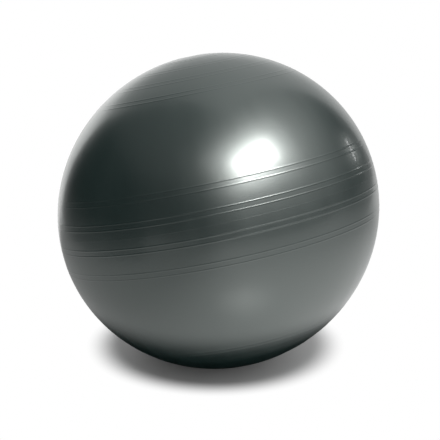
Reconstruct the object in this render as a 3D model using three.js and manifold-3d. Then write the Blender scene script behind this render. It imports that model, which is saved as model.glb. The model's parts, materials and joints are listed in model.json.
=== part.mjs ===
// Inflated exercise ball, 65 cm, at rest on a floor: a soft vinyl skin with rings of paired ribs moulded
// round one axis, a valve seat bonded into the skin at one end of that axis, and the plug that closes it.
// Millimetres, +Z up. The origin is on the floor, straight below the middle of the ball.

import * as THREE from "three";
import { mergeVertices } from "three/addons/utils/BufferGeometryUtils.js";
import Module from "manifold-3d";

const degrees = THREE.MathUtils.degToRad;

// ---- The ball ----
const BALL_DIAMETER = 650; // the nominal size, inflated
const SKIN_WALL = 0.8;
const OUT_OF_ROUND = 1.034; // the longest diameter over the shortest, as an air-filled soft skin takes up
const LONG_WAY_RISE = degrees(27); // the longest diameter rises this much from the floor
const LONG_WAY_TURN = degrees(10.7); // and is turned this much from +X towards +Y
const FOOT_RADIUS = 42; // the flat patch that the ball's own weight presses out of the skin
const AXIS_LEAN_LEFT = degrees(10.9); // the ribs' axis leans towards -X
const AXIS_LEAN_BACK = degrees(11.9); // and towards +Y

// ---- The ribs, in rings round the leaning axis, two ribs to a ring ----
const RIB_HEIGHT = 0.5;
const RIB_WIDTH = 3.6;
const RIB_SPACING = 10.8; // between the two crests of a ring
const BELT_RINGS = [-52, -3, 45, 91.5]; // along the skin from the widest line, towards the valve
const CROWN_RINGS = [71, 118, 165, 212]; // along the skin from the valve's end of the axis
const BASE_RINGS = [102, 149, 196, 243]; // along the skin from the other end of the axis

// ---- The valve seat and its plug ----
const PAD_RADIUS = 22; // flat pad of skin round the valve
const FIT_GAP = 0.3; // between pieces that touch
const COLLAR_RADIUS = 9; // the seat's collar, flush in the hole in the skin
const FLANGE_RADIUS = 15; // the seat's flange, bonded to the inside of the skin
const FLANGE_THICKNESS = 1.2;
const SLEEVE_WALL = 2.4; // of the seat's sleeve, round the mouth of the bore
const SLEEVE_LENGTH = 20; // from the outer face of the skin inwards
const BORE_MOUTH_RADIUS = 4.2;
const BORE_END_RADIUS = 3.5;
const HEAD_RADIUS = 6.7; // the plug's head, flush in its recess
const HEAD_THICKNESS = 1.5;
const HEAD_EDGE = 0.3; // bevel round the head
const STEM_LENGTH = 16.5; // from under the head
const STEM_GROOVE = 0.45; // how far the stem is cut back between its sealing rings
const STEM_RINGS = 3;
const CORE_RADIUS = 1.2; // blind hole up the stem, which lets it give as it is pushed in
const CORE_DEPTH = 12;

// ---- How finely round shapes are cut ----
const SKIN_SEGMENTS = 48;
const SKIN_STEP = 50; // the longest plain stretch of skin between two rows
const VALVE_SEGMENTS = 28;
const WELD_DISTANCE = 1e-4; // vertices nearer than this are one

const wasm = await Module();
wasm.setup();

// A lathe turns its outline round Y; here outlines are [radius, height] and stand along Z.
function turned(outline, segments) {
  const points = outline.map(([radius, height]) => new THREE.Vector2(radius, height));
  return new THREE.LatheGeometry(points, segments).rotateX(Math.PI / 2);
}

function solidOf(geometry) {
  const bare = geometry.clone();
  bare.deleteAttribute("normal");
  bare.deleteAttribute("uv");
  const merged = mergeVertices(bare, WELD_DISTANCE);
  return new wasm.Manifold(
    new wasm.Mesh({
      numProp: 3,
      vertProperties: merged.attributes.position.array,
      triVerts: new Uint32Array(merged.index.array),
    }),
  );
}

function geometryOf(solid) {
  const { vertProperties, triVerts } = solid.getMesh();
  const geometry = new THREE.BufferGeometry();
  geometry.setAttribute("position", new THREE.BufferAttribute(vertProperties, 3));
  geometry.setIndex(new THREE.BufferAttribute(triVerts, 1));
  return geometry;
}

// ---- The skin's outline, by distances along the skin from the widest line ----
const ballRadius = BALL_DIAMETER / 2;
const poleDistance = (ballRadius * Math.PI) / 2;
const padAngle = Math.acos(PAD_RADIUS / ballRadius);
const ringPlaces = [
  ...BASE_RINGS.map((distance) => distance - poleDistance),
  ...BELT_RINGS,
  ...CROWN_RINGS.map((distance) => poleDistance - distance),
].sort((a, b) => a - b);

// The rings, with plain rows between them wherever the next ring is further than SKIN_STEP away.
function skinRows() {
  const rows = [];
  let from = -poleDistance;
  for (const to of [...ringPlaces, padAngle * ballRadius]) {
    const steps = Math.ceil((to - from) / SKIN_STEP);
    for (let step = 1; step < steps; step += 1) {
      rows.push({ place: from + ((to - from) * step) / steps, ribbed: false });
    }
    rows.push({ place: to, ribbed: ringPlaces.includes(to) });
    from = to;
  }
  return rows.slice(0, -1);
}

// Six points across a ring: the foot, crest and foot of each of its two ribs, as [place, height].
function acrossRing(place) {
  const rib = (crest) => [
    [crest - RIB_WIDTH / 2, 0],
    [crest, RIB_HEIGHT],
    [crest + RIB_WIDTH / 2, 0],
  ];
  return [...rib(place - RIB_SPACING / 2), ...rib(place + RIB_SPACING / 2)];
}

// From the far end of the axis up to the flat pad, whose edge and middle are at one height.
function skinOutline(depth, withRibs) {
  const outline = skinRows()
    .flatMap(({ place, ribbed }) => (ribbed && withRibs ? acrossRing(place) : [[place, 0]]))
    .map(([place, height]) => {
      const reach = ballRadius + height - depth;
      return [reach * Math.cos(place / ballRadius), reach * Math.sin(place / ballRadius)];
    });
  const padHeight = ballRadius * Math.sin(padAngle) - depth;
  return [[0, depth - ballRadius], ...outline, [PAD_RADIUS, padHeight], [0, padHeight]];
}

// ---- How the ball lies: leaning axis, a little out of round, on its flat foot ----
const lean = new THREE.Matrix4().makeRotationFromEuler(
  new THREE.Euler(-AXIS_LEAN_BACK, -AXIS_LEAN_LEFT, 0, "XYZ"),
);
const longWay = new THREE.Matrix4().makeRotationFromEuler(
  new THREE.Euler(0, -LONG_WAY_RISE, LONG_WAY_TURN, "ZYX"),
);
const stretch = longWay
  .clone()
  .multiply(
    new THREE.Matrix4().makeScale(
      Math.sqrt(OUT_OF_ROUND),
      1 / Math.sqrt(OUT_OF_ROUND),
      1 / Math.sqrt(OUT_OF_ROUND),
    ),
  )
  .multiply(longWay.clone().transpose());
const up = new THREE.Vector3(0, 0, 1);
const lowestReach = ballRadius * up.clone().applyMatrix4(stretch).length();
const footSag = FOOT_RADIUS ** 2 / BALL_DIAMETER;
const middleHeight = lowestReach - footSag;
const resting = new THREE.Matrix4()
  .makeTranslation(0, 0, middleHeight)
  .multiply(stretch)
  .multiply(lean);

// The valve keeps its true round shape: its frame stands on the middle of the pad, square to it.
const padMiddle = new THREE.Vector3(0, 0, Math.sqrt(ballRadius ** 2 - PAD_RADIUS ** 2));
const valvePlace = padMiddle.applyMatrix4(resting);
const valveWay = up
  .clone()
  .applyNormalMatrix(new THREE.Matrix3().getNormalMatrix(resting));
const valveTurn = new THREE.Quaternion().setFromUnitVectors(up, valveWay);
const valveFrame = new THREE.Matrix4().compose(valvePlace, valveTurn, new THREE.Vector3(1, 1, 1));

// Everything under a level plane, as a block to cut away.
function below(level) {
  const block = new THREE.BoxGeometry(2 * BALL_DIAMETER, 2 * BALL_DIAMETER, BALL_DIAMETER);
  return solidOf(block.translate(0, 0, level - BALL_DIAMETER / 2));
}

function ballShell() {
  const ribbed = turned(skinOutline(0, true), SKIN_SEGMENTS).applyMatrix4(resting);
  const plain = turned(skinOutline(SKIN_WALL, false), SKIN_SEGMENTS).applyMatrix4(resting);
  const outside = solidOf(ribbed).subtract(below(0));
  const inside = solidOf(plain).subtract(below(SKIN_WALL));
  const holeRadius = COLLAR_RADIUS + FIT_GAP;
  const hole = new THREE.CylinderGeometry(holeRadius, holeRadius, 2 * FLANGE_RADIUS, VALVE_SEGMENTS);
  const cutter = solidOf(hole.rotateX(Math.PI / 2).applyMatrix4(valveFrame));
  return geometryOf(outside.subtract(inside).subtract(cutter));
}

// ---- The valve, in its own frame: Z along the bore, 0 at the outer face of the skin ----
const recessRadius = HEAD_RADIUS + FIT_GAP;
const recessDepth = HEAD_THICKNESS + FIT_GAP;
const boreTaper = (BORE_MOUTH_RADIUS - BORE_END_RADIUS) / (SLEEVE_LENGTH - recessDepth);
const boreRadiusAt = (depth) => BORE_MOUTH_RADIUS - boreTaper * (depth - recessDepth);

function valveSeat() {
  const flangeTop = -SKIN_WALL - FIT_GAP;
  const flangeUnder = flangeTop - FLANGE_THICKNESS;
  const sleeveRadius = BORE_MOUTH_RADIUS + SLEEVE_WALL;
  const outline = [
    [BORE_END_RADIUS, -SLEEVE_LENGTH],
    [BORE_END_RADIUS + SLEEVE_WALL, -SLEEVE_LENGTH],
    [sleeveRadius, flangeUnder],
    [FLANGE_RADIUS, flangeUnder],
    [FLANGE_RADIUS, flangeTop],
    [COLLAR_RADIUS, flangeTop],
    [COLLAR_RADIUS, 0],
    [recessRadius, 0],
    [recessRadius, -recessDepth],
    [BORE_MOUTH_RADIUS, -recessDepth],
    [BORE_END_RADIUS, -SLEEVE_LENGTH],
  ];
  return turned(outline, VALVE_SEGMENTS);
}

// The stem's rings and grooves take equal lengths, each ring a fit gap inside the tapered bore.
function valvePlug() {
  const bands = 2 * STEM_RINGS;
  const bandLength = STEM_LENGTH / bands;
  const stem = [];
  for (let band = bands - 1; band >= 0; band -= 1) {
    const cutBack = band % 2 === 0 ? STEM_GROOVE : 0;
    for (const depth of [(band + 1) * bandLength, band * bandLength]) {
      const fromFace = HEAD_THICKNESS + depth;
      const fitted = boreRadiusAt(Math.max(fromFace, recessDepth)) - FIT_GAP;
      stem.push([fitted - cutBack, -fromFace]);
    }
  }
  const stemEnd = -HEAD_THICKNESS - STEM_LENGTH;
  const outline = [
    [0, stemEnd + CORE_DEPTH],
    [CORE_RADIUS, stemEnd + CORE_DEPTH],
    [CORE_RADIUS, stemEnd],
    ...stem,
    [HEAD_RADIUS, -HEAD_THICKNESS],
    [HEAD_RADIUS, -HEAD_EDGE],
    [HEAD_RADIUS - HEAD_EDGE, 0],
    [0, 0],
  ];
  return turned(outline, VALVE_SEGMENTS);
}

// ---- The assembly ----
function piece(name, geometry, color, roughness) {
  const material = new THREE.MeshStandardMaterial({ color, roughness, metalness: 0 });
  const mesh = new THREE.Mesh(geometry, material);
  mesh.name = name;
  return mesh;
}

const valve = new THREE.Group();
valve.position.copy(valvePlace);
valve.quaternion.copy(valveTurn);
valve.add(
  piece("valve_seat", valveSeat(), 0x4d5553, 0.5),
  piece("valve_plug", valvePlug(), 0xd6d6d0, 0.4),
);

const exerciseBall = new THREE.Group();
exerciseBall.add(piece("ball_shell", ballShell(), 0x5c6663, 0.35), valve);

export default exerciseBall;
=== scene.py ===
"""Looks of an inflated exercise ball: a dark, glossy vinyl skin with rings of moulded ribs, its valve seat
and plug, in a plain pale studio. Metres, +Z up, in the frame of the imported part."""

import json
import logging
import math
from collections.abc import Callable, Mapping, Sequence
from dataclasses import dataclass, field
from enum import Enum
from typing import Any

import bpy
from mathutils import Euler, Matrix, Vector


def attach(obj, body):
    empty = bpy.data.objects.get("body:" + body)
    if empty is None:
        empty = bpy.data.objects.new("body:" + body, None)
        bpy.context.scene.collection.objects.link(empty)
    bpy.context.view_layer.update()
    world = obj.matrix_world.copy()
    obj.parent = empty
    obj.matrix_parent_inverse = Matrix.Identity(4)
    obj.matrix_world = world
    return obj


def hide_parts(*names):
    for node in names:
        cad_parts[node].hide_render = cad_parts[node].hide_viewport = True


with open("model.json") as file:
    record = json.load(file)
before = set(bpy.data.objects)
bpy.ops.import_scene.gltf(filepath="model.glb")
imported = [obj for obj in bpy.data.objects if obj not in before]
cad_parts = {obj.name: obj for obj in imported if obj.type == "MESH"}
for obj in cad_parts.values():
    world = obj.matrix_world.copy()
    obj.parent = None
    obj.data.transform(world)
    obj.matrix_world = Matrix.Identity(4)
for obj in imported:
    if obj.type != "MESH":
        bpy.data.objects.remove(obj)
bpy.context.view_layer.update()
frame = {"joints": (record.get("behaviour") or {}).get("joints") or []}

WELD = 1e-5  # vertices nearer than this become one
NEVER_ZERO = 1e-6  # keeps a level length above 0 where it divides
NOISE_MIDDLE = 0.5  # noise runs evenly to both sides of this
WHITE = (1.0, 1.0, 1.0, 1.0)
log = logging.getLogger("exercise_ball")


# ---------------------------------------------------------------------------------------------------------
# Shader building
# ---------------------------------------------------------------------------------------------------------


class Term:
    """A number that varies from place to place: one output socket, whose arithmetic adds Math nodes."""

    def __init__(self, graph: "Graph", socket: bpy.types.NodeSocket) -> None:
        """Wraps a socket.

        Args:
            graph: The node tree that the socket is in.
            socket: The output that gives the number.
        """
        self.graph = graph
        self.socket = socket

    def __add__(self, other: "Term | float") -> "Term":
        """This term plus another."""
        return self.graph.math("ADD", self, other)

    def __radd__(self, other: float) -> "Term":
        """A number plus this term."""
        return self.graph.math("ADD", other, self)

    def __sub__(self, other: "Term | float") -> "Term":
        """This term less another."""
        return self.graph.math("SUBTRACT", self, other)

    def __rsub__(self, other: float) -> "Term":
        """A number less this term."""
        return self.graph.math("SUBTRACT", other, self)

    def __mul__(self, other: "Term | float") -> "Term":
        """This term times another."""
        return self.graph.math("MULTIPLY", self, other)

    def __rmul__(self, other: float) -> "Term":
        """A number times this term."""
        return self.graph.math("MULTIPLY", other, self)

    def __truediv__(self, other: "Term | float") -> "Term":
        """This term over another."""
        return self.graph.math("DIVIDE", self, other)


class Graph:
    """One node tree, emptied and built again."""

    def __init__(self, tree: bpy.types.NodeTree) -> None:
        """Takes the tree over.

        Args:
            tree: A material's or the world's node tree.
        """
        self.tree = tree
        tree.nodes.clear()

    def node(
        self,
        kind: str,
        settings: Mapping[str, Any] | None = None,
        inputs: Mapping[str | int, Any] | None = None,
    ) -> bpy.types.Node:
        """Adds a node.

        Args:
            kind: The node's type name.
            settings: Its own settings, made before its sockets are fed.
            inputs: A value, a Term or a socket for each named or numbered input.

        Returns:
            The new node.
        """
        made = self.tree.nodes.new(kind)
        for name, value in (settings or {}).items():
            setattr(made, name, value)
        for name, value in (inputs or {}).items():
            self.feed(made.inputs[name], value)
        return made

    def feed(self, socket: bpy.types.NodeSocket, value: Any) -> None:
        """Links a Term or socket to an input, or sets its value.

        Args:
            socket: The input.
            value: A Term, an output socket, or what the input is set to.
        """
        if isinstance(value, Term):
            value = value.socket
        if isinstance(value, bpy.types.NodeSocket):
            self.tree.links.new(value, socket)
        else:
            socket.default_value = value

    def term(self, kind: str, output: str, settings: Mapping[str, Any] | None = None,
             inputs: Mapping[str | int, Any] | None = None) -> Term:
        """Adds a node and returns one of its outputs.

        Args:
            kind: The node's type name.
            output: The name of the output.
            settings: As for node().
            inputs: As for node().

        Returns:
            The output, ready for arithmetic.
        """
        return Term(self, self.node(kind, settings, inputs).outputs[output])

    def math(self, operation: str, first: "Term | float", second: "Term | float" = 0.0) -> Term:
        """One Math node."""
        return self.term("ShaderNodeMath", "Value", {"operation": operation}, {0: first, 1: second})

    def ramp(self, value: "Term | float", low: float, high: float,
             start: "Term | float" = 0.0, end: "Term | float" = 1.0) -> Term:
        """A smooth step.

        Args:
            value: What is measured.
            low: Where the step begins.
            high: Where it is complete.
            start: What it gives before low.
            end: What it gives past high.

        Returns:
            The step.
        """
        return self.term(
            "ShaderNodeMapRange", "Result", {"interpolation_type": "SMOOTHSTEP"},
            {"Value": value, "From Min": low, "From Max": high, "To Min": start, "To Max": end},
        )

    def mixed(self, share: "Term | float", first: Any, second: Any) -> bpy.types.NodeSocket:
        """A colour between two, by share."""
        mix = self.node("ShaderNodeMix", {"data_type": "RGBA"}, {0: share, 6: first, 7: second})
        return mix.outputs[2]

    def noise(self, vector: Any, scale: float, detail: float = 2.0, roughness: float = 0.5) -> Term:
        """Noise from 0 to 1 round a half.

        Args:
            vector: The place.
            scale: How many cells there are to the metre.
            detail: How many finer layers it has.
            roughness: How strong those layers are.

        Returns:
            The noise.
        """
        return self.term(
            "ShaderNodeTexNoise", "Fac", None,
            {"Vector": vector, "Scale": scale, "Detail": detail, "Roughness": roughness},
        )

    def split(self, vector: Any) -> tuple[Term, Term, Term]:
        """The three parts of a vector."""
        parts = self.node("ShaderNodeSeparateXYZ", None, {0: vector})
        return Term(self, parts.outputs[0]), Term(self, parts.outputs[1]), Term(self, parts.outputs[2])

    def joined(self, x: "Term | float", y: "Term | float", z: "Term | float") -> bpy.types.NodeSocket:
        """A vector from three parts."""
        return self.node("ShaderNodeCombineXYZ", None, {0: x, 1: y, 2: z}).outputs[0]

    def ray(self, kind: str) -> Term:
        """1 where Light Path says that the ray is of this kind."""
        return self.term("ShaderNodeLightPath", kind)

    def seen(self) -> Term:
        """1 for rays that show the studio as white: the camera's, and those that pass through something."""
        return self.math("MAXIMUM", self.ray("Is Camera Ray"), self.ray("Is Transmission Ray"))

    def relief(self, shader: bpy.types.Node, height: Term, strength: float) -> None:
        """Raises a shader's surface by a height in metres."""
        bump = self.node("ShaderNodeBump", None, {"Strength": strength, "Distance": 1.0, "Height": height})
        self.feed(shader.inputs["Normal"], bump.outputs[0])

    def show(self, shader: bpy.types.Node) -> None:
        """Makes a shader the surface of the material."""
        self.node("ShaderNodeOutputMaterial", None, {"Surface": shader.outputs[0]})


def rgba(colour: Sequence[float]) -> tuple[float, float, float, float]:
    """A linear colour with its alpha."""
    return (colour[0], colour[1], colour[2], 1.0)


def grey(tone: float) -> tuple[float, float, float, float]:
    """A linear grey with its alpha."""
    return rgba((tone,) * 3)


def blank_material(name: str) -> tuple[bpy.types.Material, Graph]:
    """Makes a material with nothing in it.

    Args:
        name: Its name.

    Returns:
        The material and its graph.
    """
    material = bpy.data.materials.new(name)
    material.use_nodes = True
    return material, Graph(material.node_tree)


@dataclass(frozen=True)
class PieceFrame:
    """Where a pattern's own axes lie: its middle and how it is turned."""

    middle: Vector
    turn: Euler

    def coordinates(self, graph: Graph) -> bpy.types.NodeSocket:
        """Object coordinates, brought into this frame.

        Args:
            graph: The material's tree.

        Returns:
            A vector socket, in metres from the middle.
        """
        place = graph.node("ShaderNodeTexCoord").outputs["Object"]
        inputs = {"Vector": place, "Location": self.middle, "Rotation": self.turn}
        return graph.node("ShaderNodeMapping", {"vector_type": "TEXTURE"}, inputs).outputs[0]


# ---------------------------------------------------------------------------------------------------------
# Finishes
# ---------------------------------------------------------------------------------------------------------


@dataclass(frozen=True)
class Finish:
    """A moulded surface, in the measures that are the same all over it."""

    name: str
    colour: tuple[float, float, float]
    roughness: float = 0.4
    coat: float = 0.0
    coat_roughness: float = 0.2
    ior: float = 1.5
    gloss_tint: tuple[float, float, float] = (1.0, 1.0, 1.0)
    subsurface: float = 0.0
    subsurface_radius: tuple[float, float, float] = (1.0, 0.9, 0.8)
    subsurface_scale: float = 0.002

    def start(self) -> tuple[bpy.types.Material, Graph, bpy.types.Node]:
        """Makes the material with its shader and its constant values.

        Returns:
            The material, its graph, and the shader whose other inputs are still to be fed.
        """
        material, graph = blank_material(self.name)
        inputs = {
            "IOR": self.ior,
            "Specular Tint": rgba(self.gloss_tint),
            "Coat Weight": self.coat,
            "Coat Roughness": self.coat_roughness,
            "Subsurface Weight": self.subsurface,
        }
        shader = graph.node("ShaderNodeBsdfPrincipled", None, inputs)
        if self.subsurface:
            shader.inputs["Subsurface Radius"].default_value = self.subsurface_radius
            shader.inputs["Subsurface Scale"].default_value = self.subsurface_scale
        graph.show(shader)
        return material, graph, shader


@dataclass(frozen=True)
class SkinVinyl(Finish):
    """The skin: very dark grey-green vinyl under a strong, soft gloss, faintly streaked along meridians."""

    deep: tuple[float, float, float] = (0.0053, 0.0194, 0.0185)
    streak_turns: float = 9.0  # streaks, in noise cells over the ball's radius
    streak_drift: float = 0.6  # how much they change along the axis
    axis_calm: float = 1e-5  # in square metres: keeps them from pinching at the poles
    cloud_cells: float = 7.0
    grain_cells: float = 900.0
    ripple_cells: float = 60.0
    worn_cells: float = 45.0
    cloud_depth: float = 0.62  # how far each pattern takes the colour from deep to full
    streak_depth: float = 0.5
    grain_depth: float = 0.25
    least_depth: float = -0.2
    streak_roughness: float = 0.10
    cloud_roughness: float = 0.07
    dust_roughness: float = 0.16
    dust_height: float = 0.07  # up to here the floor's dust has dulled the skin
    ripple_height: float = 0.00006
    grain_height: float = 0.000012
    relief_strength: float = 0.35

    def material(self, ball: PieceFrame) -> bpy.types.Material:
        """Builds the finish.

        Args:
            ball: The frame of the ball, with Z along the axis of its rings.

        Returns:
            The material.
        """
        material, graph, shader = self.start()
        place = ball.coordinates(graph)
        x, y, z = graph.split(place)
        reach = graph.math("SQRT", x * x + y * y + self.axis_calm)
        meridian = graph.joined(x / reach, y / reach, z * self.streak_drift)
        streaks = graph.noise(meridian, self.streak_turns, detail=4.0, roughness=0.6)
        clouds = graph.noise(place, self.cloud_cells, detail=3.0)
        grain = graph.noise(place, self.grain_cells, detail=1.0)
        ripple = graph.noise(place, self.ripple_cells)
        depth = self.cloud_depth * clouds + self.streak_depth * streaks + self.grain_depth * grain
        tone = graph.mixed(depth + self.least_depth, rgba(self.deep), rgba(self.colour))
        graph.feed(shader.inputs["Base Color"], tone)
        above_floor = graph.split(graph.node("ShaderNodeTexCoord").outputs["Object"])[2]
        patches = graph.noise(place, self.worn_cells, detail=4.0)
        dust = self.dust_roughness * graph.ramp(above_floor, self.dust_height, 0.0) * patches
        streaked = self.streak_roughness * (streaks - NOISE_MIDDLE)
        clouded = self.cloud_roughness * (clouds - NOISE_MIDDLE)
        graph.feed(shader.inputs["Roughness"], self.roughness + streaked + clouded + dust)
        graph.relief(shader, self.ripple_height * ripple + self.grain_height * grain, self.relief_strength)
        return material


@dataclass(frozen=True)
class MouldedVinyl(Finish):
    """The seat and the plug: solid vinyl with a fine moulded grain, patches of grime all over, and painted
    shade where it is recessed.
    """

    # the colour of the grime, and of the painted shade in the recesses
    grime_and_shade: tuple[float, float, float] = (0.05, 0.055, 0.05)
    recess_shade_share: float = 0.25  # painted shade in the recesses
    grime_everywhere: float = 0.10
    sunk: tuple[float, float] = (-0.0001, -0.0022)  # the heights between which a recess begins
    least_mottle: float = 0.4
    mottle_spread: float = 1.2
    mottle_cells: float = 260.0
    grain_cells: float = 1500.0
    mottle_roughness: float = 0.18
    sunk_roughness: float = 0.08
    mottle_height: float = 0.00004
    grain_height: float = 0.00002
    relief_strength: float = 0.5

    def material(self, valve: PieceFrame) -> bpy.types.Material:
        """Builds the finish.

        Args:
            valve: The frame of the valve, with Z along its bore and 0 at its outer face.

        Returns:
            The material.
        """
        material, graph, shader = self.start()
        place = valve.coordinates(graph)
        mottle = graph.noise(place, self.mottle_cells, detail=3.0)
        grain = graph.noise(place, self.grain_cells)
        sunk = graph.ramp(graph.split(place)[2], *self.sunk)
        patches = self.least_mottle + self.mottle_spread * mottle
        # painted shade in the recesses, plus grime all over, both in patches
        share = (sunk * self.recess_shade_share + self.grime_everywhere) * patches
        graph.feed(shader.inputs["Base Color"], graph.mixed(share, rgba(self.colour), rgba(self.grime_and_shade)))
        uneven = self.mottle_roughness * (mottle - NOISE_MIDDLE) + self.sunk_roughness * sunk
        graph.feed(shader.inputs["Roughness"], self.roughness + uneven)
        graph.relief(shader, self.grain_height * grain + self.mottle_height * mottle, self.relief_strength)
        return material


# ---------------------------------------------------------------------------------------------------------
# Modelling
# ---------------------------------------------------------------------------------------------------------


def nothing_selected() -> None:
    """Leaves every object unselected, in object mode."""
    if bpy.context.mode != "OBJECT":
        bpy.ops.object.mode_set(mode="OBJECT")
    bpy.ops.object.select_all(action="DESELECT")


def editing(obj: bpy.types.Object, mode: str = "VERT") -> None:
    """Opens one object in edit mode with nothing selected in it.

    Args:
        obj: The object.
        mode: VERT, EDGE or FACE.
    """
    nothing_selected()
    obj.select_set(True)
    bpy.context.view_layer.objects.active = obj
    bpy.ops.object.mode_set(mode="EDIT")
    bpy.ops.mesh.select_mode(type=mode)
    bpy.ops.mesh.select_all(action="DESELECT")


def pick_vertices(obj: bpy.types.Object, wanted: Callable[[Vector], bool]) -> None:
    """Selects an object's vertices by their place, and opens it in edit mode.

    Args:
        obj: The object.
        wanted: Says of a place whether its vertex is selected.
    """
    editing(obj)
    bpy.ops.object.mode_set(mode="OBJECT")
    for vertex in obj.data.vertices:
        vertex.select = wanted(vertex.co)
    bpy.ops.object.mode_set(mode="EDIT")


def turned(name: str, outline: Sequence[tuple[float, float]], steps: int) -> bpy.types.Object:
    """Draws an outline vertex by vertex and spins it round Z into a closed body.

    Args:
        name: The new object's name.
        outline: Points of (radius, height), from the axis back to the axis, or closed on its first point.
        steps: How many stretches the circle is cut into.

    Returns:
        The body, with its faces outwards.
    """
    nothing_selected()
    bpy.ops.mesh.primitive_plane_add(size=1.0, location=(0.0, 0.0, 0.0))
    obj = bpy.context.active_object
    obj.name = obj.data.name = name
    bpy.ops.object.mode_set(mode="EDIT")
    bpy.ops.mesh.select_mode(type="VERT")  # a bevel before this leaves edges on, which loses a lone vertex
    bpy.ops.mesh.select_all(action="SELECT")
    bpy.ops.mesh.merge(type="CENTER")
    bpy.ops.transform.translate(value=(outline[0][0], 0.0, outline[0][1]))
    for before, after in zip(outline, outline[1:]):
        step = (after[0] - before[0], 0.0, after[1] - before[1])
        bpy.ops.mesh.extrude_region_move(TRANSFORM_OT_translate={"value": step})
    bpy.ops.mesh.select_all(action="SELECT")
    bpy.ops.mesh.spin(steps=steps, angle=math.tau, center=(0.0, 0.0, 0.0), axis=(0.0, 0.0, 1.0))
    bpy.ops.mesh.select_all(action="SELECT")
    bpy.ops.mesh.remove_doubles(threshold=WELD)
    bpy.ops.mesh.normals_make_consistent(inside=False)
    bpy.ops.object.mode_set(mode="OBJECT")
    return obj


def bevel_corners(obj: bpy.types.Object, sharper_than: float, width: float) -> None:
    """Rounds every edge of an object that turns more than an angle.

    Args:
        obj: The object.
        sharper_than: The angle.
        width: How far the rounding reaches from the edge.
    """
    editing(obj, "EDGE")
    bpy.ops.mesh.edges_select_sharp(sharpness=sharper_than)
    bpy.ops.mesh.bevel(offset=width, segments=3, affect="EDGES", clamp_overlap=True)
    bpy.ops.mesh.select_all(action="SELECT")
    bpy.ops.mesh.remove_doubles(threshold=WELD / 10)
    bpy.ops.mesh.normals_make_consistent(inside=False)
    bpy.ops.object.mode_set(mode="OBJECT")


def settle(obj: bpy.types.Object, place: Matrix) -> None:
    """Moves and turns a body, and puts its place into its mesh.

    Args:
        obj: The body, at the origin.
        place: The move and turn.
    """
    nothing_selected()
    obj.select_set(True)
    bpy.context.view_layer.objects.active = obj
    obj.matrix_world = place
    bpy.ops.object.transform_apply(location=True, rotation=True, scale=True)


def smooth(obj: bpy.types.Object, up_to: float) -> None:
    """Shades a body smoothly across every edge that turns less than an angle.

    Args:
        obj: The body.
        up_to: The angle.
    """
    nothing_selected()
    obj.select_set(True)
    bpy.context.view_layer.objects.active = obj
    bpy.ops.object.shade_smooth_by_angle(angle=up_to)


def dress(obj: bpy.types.Object, material: bpy.types.Material) -> None:
    """Gives a piece its one material."""
    obj.data.materials.clear()
    obj.data.materials.append(material)


@dataclass(frozen=True)
class Resting:
    """How the ball lies: its axis leaning, its shape a little out of round, its middle over the origin."""

    radius: float = 0.325
    lean_left: float = math.radians(10.9)
    lean_back: float = math.radians(11.9)
    out_of_round: float = 1.034
    long_way_rise: float = math.radians(27.0)
    long_way_turn: float = math.radians(10.7)
    foot_radius: float = 0.042

    @property
    def lean(self) -> Matrix:
        """The turn from an upright axis to the leaning one."""
        return Matrix.Rotation(-self.lean_back, 4, "X") @ Matrix.Rotation(-self.lean_left, 4, "Y")

    @property
    def long_way(self) -> Matrix:
        """The turn that brings X onto the longest diameter."""
        return Matrix.Rotation(self.long_way_turn, 4, "Z") @ Matrix.Rotation(-self.long_way_rise, 4, "Y")

    @property
    def stretched(self) -> tuple[float, float, float]:
        """The three scales along and across the longest diameter."""
        along = math.sqrt(self.out_of_round)
        return (along, 1.0 / along, 1.0 / along)

    @property
    def middle(self) -> Vector:
        """The middle of the ball, sunk by what the foot gives.

        Returns:
            The place.
        """
        shape = self.long_way @ Matrix.Diagonal((*self.stretched, 1.0)) @ self.long_way.transposed()
        reach = self.radius * (shape @ Vector((0.0, 0.0, 1.0))).length
        return Vector((0.0, 0.0, reach - self.foot_radius**2 / (2.0 * self.radius)))

    def lay(self, obj: bpy.types.Object) -> None:
        """Leans, stretches and lifts a body that was turned about its own upright axis.

        Args:
            obj: The body.
        """
        settle(obj, self.lean)
        settle(obj, self.long_way.transposed())
        settle(obj, Matrix.Diagonal((*self.stretched, 1.0)))
        settle(obj, self.long_way)
        settle(obj, Matrix.Translation(self.middle))


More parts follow.
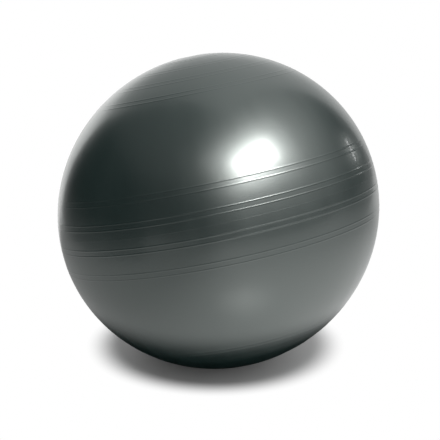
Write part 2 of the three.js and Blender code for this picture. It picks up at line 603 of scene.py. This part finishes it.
@dataclass
class Skin:
    """The one-piece vinyl skin, with its rings of paired ribs and the hole for the valve."""

    lies: Resting = field(default_factory=Resting)
    wall: float = 0.0008
    rib_height: float = 0.00025
    rib_width: float = 0.0038
    rib_spacing: float = 0.0108
    rib_margin: float = 0.0006  # rows this far outside a rib hold the bare skin true
    rib_rows: int = 4  # from a rib's crest to its foot
    belt_rings: tuple[float, ...] = (-0.052, -0.003, 0.045, 0.0915)  # from the widest line
    crown_rings: tuple[float, ...] = (0.071, 0.118, 0.165, 0.212)  # from the valve's end of the axis
    base_rings: tuple[float, ...] = (0.102, 0.149, 0.196, 0.243)  # from the other end
    seam_place: float = 0.0215  # a parting line, as fine as a hair
    seam_height: float = 0.00006
    seam_width: float = 0.0012
    pad_radius: float = 0.022  # the flat pad round the valve
    pad_rows: tuple[float, ...] = (0.018, 0.0135)
    inner_pad_row: float = 0.015
    hole_radius: float = 0.0093
    hole_edge: float = 0.0003
    hole_edge_rows: int = 4
    row_step: float = 0.0106
    inner_row_step: float = 0.026
    steps: int = 192
    smooth_up_to: float = math.radians(50.0)
    finish: SkinVinyl = field(
        default_factory=lambda: SkinVinyl(
            "ball_vinyl", (0.0082, 0.0268, 0.0253), roughness=0.31, coat=0.22, coat_roughness=0.1,
            ior=2.33, gloss_tint=(0.95, 1.0, 0.96),
        )
    )

    def bell(self, middle: float, width: float, height: float) -> list[tuple[float, float]]:
        """Points across a rounded rib, and one on each side of it.

        Args:
            middle: Its place along the skin.
            width: From foot to foot.
            height: At the crest.

        Returns:
            Points of (place, height above the skin).
        """
        shares = [row / self.rib_rows for row in range(-self.rib_rows, self.rib_rows + 1)]
        across = [(middle + width / 2 * s, height * math.cos(math.pi / 2 * s) ** 2) for s in shares]
        reach = width / 2 + self.rib_margin
        return [(middle - reach, 0.0), *across, (middle + reach, 0.0)]

    def features(self) -> list[list[tuple[float, float]]]:
        """Every ring and the parting line, in order along the skin.

        Returns:
            For each, its points of (place, height above the skin).
        """
        pole = self.lies.radius * math.pi / 2
        base = [place - pole for place in self.base_rings]
        crown = [pole - place for place in self.crown_rings]
        places = [*base, *self.belt_rings, *crown]
        half = self.rib_spacing / 2
        rings = [
            [
                *self.bell(place - half, self.rib_width, self.rib_height),
                (place, 0.0),
                *self.bell(place + half, self.rib_width, self.rib_height),
            ]
            for place in places
        ]
        seam = self.bell(self.seam_place, self.seam_width, self.seam_height)
        return sorted([*rings, seam])

    def plain(self, start: float, end: float, step: float) -> list[tuple[float, float]]:
        """Evenly spaced points of bare skin between two places, without the two.

        Args:
            start: The first place.
            end: The last place.
            step: The longest stretch between points.

        Returns:
            Points of (place, 0).
        """
        count = max(1, math.ceil((end - start) / step))
        return [(start + (end - start) * n / count, 0.0) for n in range(1, count)]

    def outline(self) -> list[tuple[float, float]]:
        """The section of the skin, from the outer far pole up to the hole and back inside to the far pole.

        Returns:
            Points of (radius, height) from the ball's middle.
        """
        radius = self.lies.radius
        pole = radius * math.pi / 2
        pad_height = math.sqrt(radius**2 - self.pad_radius**2)
        pad_place = radius * math.acos(self.pad_radius / radius)
        rows: list[tuple[float, float]] = []
        reached = -pole
        for feature in self.features():
            rows += self.plain(reached, feature[0][0], self.row_step) + feature
            reached = feature[-1][0]
        rows += self.plain(reached, pad_place, self.row_step)
        outside = [self.on_skin(place, height) for place, height in rows]
        edge, hole = self.hole_edge, self.hole_radius
        arc = [math.pi / 2 * row / self.hole_edge_rows for row in range(self.hole_edge_rows + 1)]
        lip = [(hole + edge - edge * math.sin(a), pad_height - edge + edge * math.cos(a)) for a in arc]
        pad = [(reach, pad_height) for reach in (self.pad_radius, *self.pad_rows)]
        inner_height = pad_height - self.wall
        under = [(reach, inner_height) for reach in (hole, self.inner_pad_row, self.pad_radius)]
        inner_rows = self.plain(-pole, pad_place, self.inner_row_step)[::-1]
        inside = [self.on_skin(place, -self.wall) for place, _ in inner_rows]
        return [(0.0, -radius), *outside, *pad, *lip, *under, *inside, (0.0, self.wall - radius)]

    def on_skin(self, place: float, height: float) -> tuple[float, float]:
        """A point of the section.

        Args:
            place: How far along the skin it is.
            height: How far above the skin it is.

        Returns:
            Its (radius, height) from the ball's middle.
        """
        reach = self.lies.radius + height
        angle = place / self.lies.radius
        return (reach * math.cos(angle), reach * math.sin(angle))

    def press_foot(self, obj: bpy.types.Object) -> None:
        """Presses the skin flat where it rests: the outside onto the floor, the inside a wall above it.

        Args:
            obj: The skin, laid in its place.
        """
        middle, radius, wall = self.lies.middle, self.lies.radius, self.wall
        turn = (self.lies.long_way @ Matrix.Diagonal((*self.lies.stretched, 1.0)).inverted()).to_3x3()
        flat = turn @ self.lies.long_way.to_3x3().transposed()
        for level in (0.0, wall):
            editing(obj)
            bpy.ops.mesh.select_all(action="SELECT")
            bpy.ops.mesh.bisect(plane_co=(0.0, 0.0, level), plane_no=(0.0, 0.0, 1.0))

        def is_inner(point: Vector) -> bool:
            """Whether a point lies on the inside of the skin."""
            return (flat @ (point - middle)).length < radius - wall / 2

        for level, inner in ((0.0, False), (wall, True)):
            pick_vertices(obj, lambda p: p.z < level + WELD and is_inner(p) == inner)
            bpy.ops.transform.resize(value=(1.0, 1.0, 0.0), center_override=(0.0, 0.0, level))
        bpy.ops.object.mode_set(mode="OBJECT")

    def build(self) -> bpy.types.Object:
        """Models the skin.

        Returns:
            The skin, in place.
        """
        skin = turned("ball_skin", self.outline(), self.steps)
        self.lies.lay(skin)
        self.press_foot(skin)
        smooth(skin, self.smooth_up_to)
        return skin

    def dress(self, skin: bpy.types.Object) -> None:
        """Gives the skin its finish."""
        place = PieceFrame(self.lies.middle, self.lies.lean.to_euler())
        dress(skin, self.finish.material(place))


@dataclass
class Valve:
    """The bonded seat and the pull-out plug, in the valve's frame: Z along the bore, 0 at its outer face."""

    lies: Resting = field(default_factory=Resting)
    pad_radius: float = 0.022
    gap: float = 0.0003
    wall: float = 0.0008
    collar_radius: float = 0.009
    flange_radius: float = 0.015
    flange_thickness: float = 0.0012
    sleeve_wall: float = 0.0024
    sleeve_length: float = 0.020
    mouth_radius: float = 0.0042
    end_radius: float = 0.0035
    head_radius: float = 0.0067
    head_thickness: float = 0.0015
    dish_depth: float = 0.0004
    dish_radius: float = 0.0048
    dish_slope: float = 0.0005
    dish_row: float = 0.0012
    stem_length: float = 0.0165
    stem_groove: float = 0.00045
    stem_rings: int = 3
    core_radius: float = 0.0012
    core_depth: float = 0.012
    steps: int = 96
    seat_corner: float = math.radians(30.0)  # edges that turn more than this are rounded
    seat_bevel: float = 0.00018
    plug_corner: float = math.radians(25.0)
    plug_bevel: float = 0.0002
    smooth_up_to: float = math.radians(40.0)
    seat_finish: MouldedVinyl = field(
        default_factory=lambda: MouldedVinyl("seat_vinyl", (0.074, 0.091, 0.087), roughness=0.5)
    )
    plug_finish: MouldedVinyl = field(
        default_factory=lambda: MouldedVinyl(
            "plug_vinyl", (0.67, 0.67, 0.63), roughness=0.38, subsurface=0.15,
        )
    )

    @property
    def way(self) -> Vector:
        """The way the plug comes out, as the part's joint says."""
        joint = next(j for j in frame["joints"] if j["child"] == "plug")
        return Vector(joint["axis"]).normalized()

    @property
    def place(self) -> Matrix:
        """The valve's frame: on the middle of the pad, square to it.

        Returns:
            The move and turn from the origin.
        """
        lies = self.lies
        pad = Vector((0.0, 0.0, math.sqrt(lies.radius**2 - self.pad_radius**2)))
        stretch = lies.long_way @ Matrix.Diagonal((*lies.stretched, 1.0)) @ lies.long_way.transposed()
        middle = lies.middle + (stretch @ lies.lean @ pad)
        turn = Vector((0.0, 0.0, 1.0)).rotation_difference(self.way)
        return Matrix.Translation(middle) @ turn.to_matrix().to_4x4()

    @property
    def recess(self) -> tuple[float, float]:
        """The radius and depth of the recess that takes the plug's head."""
        return self.head_radius + self.gap, self.head_thickness + self.gap

    def bore_at(self, depth: float) -> float:
        """The bore's radius at a depth.

        Args:
            depth: How far under the outer face.

        Returns:
            The radius.
        """
        start = self.recess[1]
        share = (max(depth, start) - start) / (self.sleeve_length - start)
        return self.mouth_radius + (self.end_radius - self.mouth_radius) * share

    def seat(self) -> bpy.types.Object:
        """Models the seat: collar, flange and inward sleeve.

        Returns:
            The seat, in place.
        """
        recess_radius, recess_depth = self.recess
        top = -self.wall - self.gap
        under = top - self.flange_thickness
        outline = [
            (self.end_radius, -self.sleeve_length),
            (self.end_radius + self.sleeve_wall, -self.sleeve_length),
            (self.mouth_radius + self.sleeve_wall, under),
            (self.flange_radius, under),
            (self.flange_radius, top),
            (self.collar_radius, top),
            (self.collar_radius, 0.0),
            (recess_radius, 0.0),
            (recess_radius, -recess_depth),
            (self.mouth_radius, -recess_depth),
            (self.end_radius, -self.sleeve_length),
        ]
        seat = turned("valve_collar", outline, self.steps)
        bevel_corners(seat, self.seat_corner, self.seat_bevel)
        settle(seat, self.place)
        smooth(seat, self.smooth_up_to)
        return seat

    def plug(self) -> bpy.types.Object:
        """Models the plug: dished head, ringed stem and blind core.

        Returns:
            The plug, in place.
        """
        bands = 2 * self.stem_rings
        length = self.stem_length / bands
        stem: list[tuple[float, float]] = []
        for band in reversed(range(bands)):
            cut = self.stem_groove if band % 2 == 0 else 0.0
            for depth in ((band + 1) * length, band * length):
                below = self.head_thickness + depth
                stem.append((self.bore_at(below) - self.gap - cut, -below))
        end = -self.head_thickness - self.stem_length
        outline = [
            (0.0, end + self.core_depth),
            (self.core_radius, end + self.core_depth),
            (self.core_radius, end),
            *stem,
            (self.head_radius, -self.head_thickness),
            (self.head_radius, 0.0),
            (self.dish_radius + self.dish_slope, 0.0),
            (self.dish_radius, -self.dish_depth),
            (self.dish_row, -self.dish_depth),
            (0.0, -self.dish_depth),
        ]
        plug = turned("plug_body", outline, self.steps)
        bevel_corners(plug, self.plug_corner, self.plug_bevel)
        settle(plug, self.place)
        smooth(plug, self.smooth_up_to)
        return plug

    def build(self) -> tuple[bpy.types.Object, bpy.types.Object]:
        """Models both pieces.

        Returns:
            The seat and the plug.
        """
        return self.seat(), self.plug()

    def dress(self, seat: bpy.types.Object, plug: bpy.types.Object) -> None:
        """Gives each piece its finish.

        Args:
            seat: The seat.
            plug: The plug.
        """
        place = PieceFrame(self.place.to_translation(), self.place.to_euler())
        dress(seat, self.seat_finish.material(place))
        dress(plug, self.plug_finish.material(place))


# ---------------------------------------------------------------------------------------------------------
# Studio
# ---------------------------------------------------------------------------------------------------------


class Gloss(Enum):
    """How bright each part of the studio looks in the gloss of the ball."""

    WALLS = 0.07
    CEILING = 0.17
    RIGHT_WALL = 0.50
    RIGHT_CEILING = 0.36
    HIGH_LEFT = 0.50
    HIGH_RIGHT = 0.76
    BACKDROP_LEFT = 1.75
    BACKDROP_RIGHT = 0.92
    FLOOR_LEFT = 0.48
    FLOOR_RIGHT = 1.02
    BEHIND_LEFT = 1.52
    BEHIND_RIGHT = 1.0
    POOL = 0.55


@dataclass(frozen=True)
class Lamp:
    """A soft rectangular lamp that points at the ball."""

    name: str
    way: tuple[float, float, float]  # where it hangs, seen from the ball
    distance: float
    size: tuple[float, float]
    brightness: float  # as it looks in a mirror, next to white paper at 1
    roll: float = 0.0
    lights: bool = True  # whether it lights what is matt
    mirrored: bool = True  # whether gloss shows it

    def hang(self, middle: Vector) -> bpy.types.Object:
        """Hangs the lamp.

        Args:
            middle: The middle of the ball.

        Returns:
            The lamp.
        """
        data = bpy.data.lights.new(self.name, "AREA")
        data.shape = "RECTANGLE"
        data.size, data.size_y = self.size
        data.energy = math.pi * self.size[0] * self.size[1] * self.brightness
        lamp = bpy.data.objects.new(self.name, data)
        bpy.context.scene.collection.objects.link(lamp)
        way = Vector(self.way).normalized()
        lamp.location = middle + way * self.distance
        turn = way.to_track_quat("Z", "Y").to_matrix()
        lamp.rotation_euler = (turn @ Matrix.Rotation(self.roll, 3, "Z")).to_euler()
        lamp.visible_camera = False
        lamp.visible_diffuse = self.lights
        lamp.visible_glossy = self.mirrored
        return lamp


@dataclass
class Studio:
    """A pale floor, a dark screen on the left and soft lamps above.

    Walls, a ceiling and a backdrop behind the ball show only in its gloss, each with its own brightness.
    Most pairs of numbers are where a smooth step begins and ends: in the world they measure the parts of a
    direction, and on the floor they are metres from where the ball rests.
    """

    middle: Vector
    fill: float = 0.57  # the even light from all round
    floor_radius: float = 12.0
    floor_tone: float = 0.92
    shadow_middle: tuple[float, float] = (-0.006, 0.038)  # of the floor's shadow, from where the ball rests
    shadow_rim: tuple[float, float] = (0.178, 0.245)  # where the floor turns white
    shadow_breadth: float = 1.165  # its width over its depth
    shadow_veil: float = 0.008  # how much white lies over all of it
    shade_middle: tuple[float, float] = (-0.005, 0.040)  # the same two in the ball's gloss
    shade_rim: tuple[float, float] = (0.244, 0.385)
    pool: tuple[float, float] = (0.16, -0.57)  # the brightest place on the floor, under the lamp
    pool_radius: float = 0.21
    backdrop_turn: float = math.radians(-6.0)  # rightwards from straight behind, so this is to the left
    backdrop_half_width: float = math.radians(39.5)
    backdrop_edge: float = math.radians(3.0)
    ceiling_rise: tuple[float, float] = (0.4, 0.8)
    right_side: tuple[float, float] = (-0.2, 0.5)
    right_wall_rise: tuple[float, float] = (-0.05, 0.35)
    right_wall_depth: tuple[float, float] = (0.8, -0.3)
    right_ceiling_rise: tuple[float, float] = (0.3, 0.8)
    backdrop_rise: tuple[float, float] = (0.05, 0.4)
    backdrop_across: tuple[float, float] = (-0.6, 0.4)  # low down on it, and on the floor before it
    high_across: tuple[float, float] = (-0.5, 0.35)
    sheet_back: tuple[float, float] = (0.45, 1.1)  # the bright sheet of floor behind the ball
    sheet_right: tuple[float, float] = (1.70, 1.45)
    sheet_left: tuple[float, float] = (-2.0, -1.8)
    floor_across: tuple[float, float] = (-0.45, 0.38)
    fade_reach: tuple[float, float] = (0.4, 1.7)  # the floor dims with distance
    fade_depth: tuple[float, float] = (-1.0, 1.5)  # less in front of the ball than behind it
    faded: tuple[float, float] = (0.75, 0.25)
    floor_steps: int = 96
    floor_drop: float = 0.0001  # keeps the floor clear of the ball's flat foot
    paper_roughness: float = 0.5
    paper_specular: float = 0.4
    screen_distance: float = 1.1
    screen_height: float = 1.05
    screen_length: float = 2.1
    screen_forward: float = 0.1
    screen_rise: tuple[float, float] = (0.4, 0.05)  # painted light near the floor, dark above
    screen_dark: float = 0.02
    # the painted light on the screen's foot, near the floor
    screen_painted_light: float = 0.22
    screen_roughness: float = 0.9
    lamps: tuple[Lamp, ...] = (
        Lamp("soft_lamp", (0.352, -0.532, 0.755), 2.3, (1.16, 0.62), 17.0, math.radians(17.0), lights=False),
        Lamp("glow_lamp", (0.350, -0.510, 0.780), 2.4, (2.60, 1.70), 0.8, math.radians(12.0), lights=False),
        Lamp("top_lamp", (0.0, -0.1, 1.0), 2.2, (2.0, 2.0), 1.7, mirrored=False),
        Lamp("strip_lamp", (2.08, 1.27, 0.55), 2.5, (0.05, 0.38), 17.0, math.radians(-24.0), lights=False),
    )

    def backdrop_share(self, graph: Graph, x: Term, y: Term) -> Term:
        """1 in the directions where the white backdrop stands, behind the ball.

        Args:
            graph: The tree.
            x: The first part of a direction or place.
            y: The second part.

        Returns:
            The share, with soft edges.
        """
        outer = math.cos(self.backdrop_half_width + self.backdrop_edge / 2)
        inner = math.cos(self.backdrop_half_width - self.backdrop_edge / 2)
        ahead = y * math.cos(self.backdrop_turn) + x * math.sin(self.backdrop_turn)
        return graph.ramp(ahead / self.away(graph, x, y), outer, inner)

    def world(self) -> None:
        """Lights the world: white where seen, even light on the object, the studio's walls in its gloss."""
        world = bpy.data.worlds.new("studio")
        bpy.context.scene.world = world
        world.use_nodes = True
        graph = Graph(world.node_tree)
        x, y, z = graph.split(graph.node("ShaderNodeTexCoord").outputs["Generated"])
        behind = self.backdrop_share(graph, x, y)
        walls = graph.ramp(z, *self.ceiling_rise, Gloss.WALLS.value, Gloss.CEILING.value)
        wall = graph.ramp(z, *self.right_wall_rise) * graph.ramp(y, *self.right_wall_depth)
        ceiling = graph.ramp(z, *self.right_ceiling_rise) * Gloss.RIGHT_CEILING.value
        right = graph.ramp(x, *self.right_side) * (wall * Gloss.RIGHT_WALL.value + ceiling)
        low = graph.ramp(x, *self.backdrop_across, Gloss.BACKDROP_LEFT.value, Gloss.BACKDROP_RIGHT.value)
        high = graph.ramp(x, *self.high_across, Gloss.HIGH_LEFT.value, Gloss.HIGH_RIGHT.value)
        height = graph.ramp(z, *self.backdrop_rise)
        backdrop = low * (1.0 - height) + high * height
        studio = behind * backdrop + (1.0 - behind) * (walls + right)
        seen = graph.seen()
        gloss = graph.ray("Is Glossy Ray")
        strength = seen + (1.0 - seen) * (gloss * studio + (1.0 - gloss) * self.fill)
        sky = graph.node("ShaderNodeBackground", None, {"Color": WHITE, "Strength": strength})
        graph.node("ShaderNodeOutputWorld", None, {"Surface": sky.outputs[0]})

    def away(self, graph: Graph, x: Term, y: Term) -> Term:
        """The length of a level stretch."""
        return graph.math("SQRT", x * x + y * y + NEVER_ZERO)

    def rim(self, graph: Graph, x: Term, y: Term, middle: tuple[float, float],
            radii: tuple[float, float], breadth: float = 1.0) -> Term:
        """A round or oval step on the floor.

        Args:
            graph: The floor's tree.
            x: The place to the right of where the ball rests.
            y: The place behind it.
            middle: The middle of the round, in the same two measures.
            radii: How far from it the step begins and ends, front to back.
            breadth: How much further it is from side to side.

        Returns:
            0 on the side of the first radius, 1 on the side of the second.
        """
        return graph.ramp(self.away(graph, (x - middle[0]) / breadth, y - middle[1]), *radii)

    def floor_in_gloss(self, graph: Graph, x: Term, y: Term) -> Term:
        """How bright the floor looks in the gloss of the ball.

        Args:
            graph: The floor's tree.
            x: The place to the right of where the ball rests.
            y: The place behind it.

        Returns:
            The brightness: none in the ball's shade, more on the lamp's side, most in its pool.
        """
        sides = graph.ramp(x, *self.sheet_right) * graph.ramp(x, *self.sheet_left)
        sheet = graph.ramp(y, *self.sheet_back) * sides
        behind = graph.math("MAXIMUM", sheet, self.backdrop_share(graph, x, y))
        across = graph.ramp(x, *self.floor_across, Gloss.FLOOR_LEFT.value, Gloss.FLOOR_RIGHT.value)
        faded = graph.ramp(y, *self.fade_depth, *self.faded)
        further = graph.ramp(self.away(graph, x, y), *self.fade_reach, 1.0, faded)
        beyond = graph.ramp(x, *self.backdrop_across, Gloss.BEHIND_LEFT.value, Gloss.BEHIND_RIGHT.value)
        pool = self.rim(graph, x, y, self.pool, (self.pool_radius, 0.0)) * Gloss.POOL.value
        lit = behind * beyond + (1.0 - behind) * across * further + pool
        return lit * self.rim(graph, x, y, self.shade_middle, self.shade_rim)

    def floor(self) -> bpy.types.Object:
        """Lays the floor: it keeps the shadow near the ball and is plain white further out.

        Returns:
            The floor.
        """
        nothing_selected()
        bpy.ops.mesh.primitive_circle_add(
            vertices=self.floor_steps, radius=self.floor_radius, fill_type="NGON",
            location=(0.0, 0.0, -self.floor_drop),
        )
        floor = bpy.context.active_object
        floor.name = "floor"
        material, graph = blank_material("floor_paper")
        x, y, _ = graph.split(graph.node("ShaderNodeTexCoord").outputs["Object"])
        inputs = {
            "Base Color": grey(self.floor_tone),
            "Roughness": self.paper_roughness,
            "Specular IOR Level": self.paper_specular,
        }
        paper = graph.node("ShaderNodeBsdfPrincipled", None, inputs)
        seen = graph.seen()
        gloss = graph.ray("Is Glossy Ray") * (1.0 - seen)
        glow = seen + gloss * self.floor_in_gloss(graph, x, y)
        white = graph.node("ShaderNodeEmission", None, {"Color": WHITE, "Strength": glow})
        bare = self.rim(graph, x, y, self.shadow_middle, self.shadow_rim, self.shadow_breadth)
        rim = self.shadow_veil + (1.0 - self.shadow_veil) * bare
        inputs = {0: seen * rim + gloss, 1: paper.outputs[0], 2: white.outputs[0]}
        graph.show(graph.node("ShaderNodeMixShader", None, inputs))
        dress(floor, material)
        return floor

    def screen(self) -> bpy.types.Object:
        """Stands the dark screen on the left, which the camera doesn't see.

        Returns:
            The screen.
        """
        nothing_selected()
        bpy.ops.mesh.primitive_plane_add(size=1.0, location=(0.0, 0.0, 0.0))
        screen = bpy.context.active_object
        screen.name = "screen"
        screen.scale = (self.screen_height, self.screen_length, 1.0)
        screen.rotation_euler = (0.0, math.radians(90.0), 0.0)
        screen.location = (-self.screen_distance, -self.screen_forward, self.screen_height / 2)
        bpy.ops.object.transform_apply(location=True, rotation=True, scale=True)
        material, graph = blank_material("screen_cloth")
        height = graph.split(graph.node("ShaderNodeTexCoord").outputs["Object"])[2]
        # painted light on the screen's foot, dark cloth above
        share = graph.ramp(height, *self.screen_rise)
        tone = graph.mixed(share, grey(self.screen_dark), grey(self.screen_painted_light))
        inputs = {"Base Color": tone, "Roughness": self.screen_roughness}
        graph.show(graph.node("ShaderNodeBsdfPrincipled", None, inputs))
        dress(screen, material)
        screen.visible_camera = False
        return screen

    def build(self) -> None:
        """Sets up the floor, the screen, the world and the lamps."""
        self.world()
        self.floor()
        self.screen()
        for lamp in self.lamps:
            lamp.hang(self.middle)


@dataclass
class Camera:
    """A long lens in front of the ball, looking a little down on it."""

    middle: Vector
    elevation: float = math.radians(20.0)
    distance: float = 2.275
    lens: float = 90.4  # in mm, as the sensor is
    sensor_width: float = 36.0
    aim_right: float = 0.0031  # where it aims, from the ball's middle
    aim_below: float = 0.0187

    def build(self) -> bpy.types.Object:
        """Sets the camera up as the scene's own.

        Returns:
            The camera.
        """
        data = bpy.data.cameras.new("camera")
        data.lens = self.lens
        data.sensor_width = self.sensor_width
        camera = bpy.data.objects.new("camera", data)
        bpy.context.scene.collection.objects.link(camera)
        back = Vector((0.0, -math.cos(self.elevation), math.sin(self.elevation)))
        up = Vector((0.0, math.sin(self.elevation), math.cos(self.elevation)))
        camera.location = self.middle + back * self.distance
        aim = self.middle + Vector((self.aim_right, 0.0, 0.0)) - up * self.aim_below
        camera.rotation_euler = (aim - camera.location).to_track_quat("-Z", "Y").to_euler()
        bpy.context.scene.camera = camera
        return camera


# ---------------------------------------------------------------------------------------------------------
# The whole
# ---------------------------------------------------------------------------------------------------------


def hand_over(piece: bpy.types.Object, body: str, node: str) -> None:
    """Ties a finished piece to its body, hides the node that it stands for, and reports it.

    Args:
        piece: The piece.
        body: The body that it moves with.
        node: The node that it stands for.
    """
    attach(piece, body)
    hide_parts(node)
    log.info("%s: %d faces, on body %s, for node %s", piece.name, len(piece.data.polygons), body, node)


def main() -> None:
    """Builds the ball, its valve and the studio."""
    logging.basicConfig(level=logging.INFO, format="%(name)s: %(message)s")
    bpy.context.scene.view_settings.view_transform = "Standard"
    skin = Skin()
    ball_skin = skin.build()
    skin.dress(ball_skin)
    hand_over(ball_skin, "ball", "ball_shell")
    valve = Valve()
    seat, plug = valve.build()
    valve.dress(seat, plug)
    hand_over(seat, "ball", "valve_seat")
    hand_over(plug, "plug", "valve_plug")
    middle = skin.lies.middle
    Studio(middle).build()
    Camera(middle).build()
    nothing_selected()


if __name__ == "__main__":
    main()
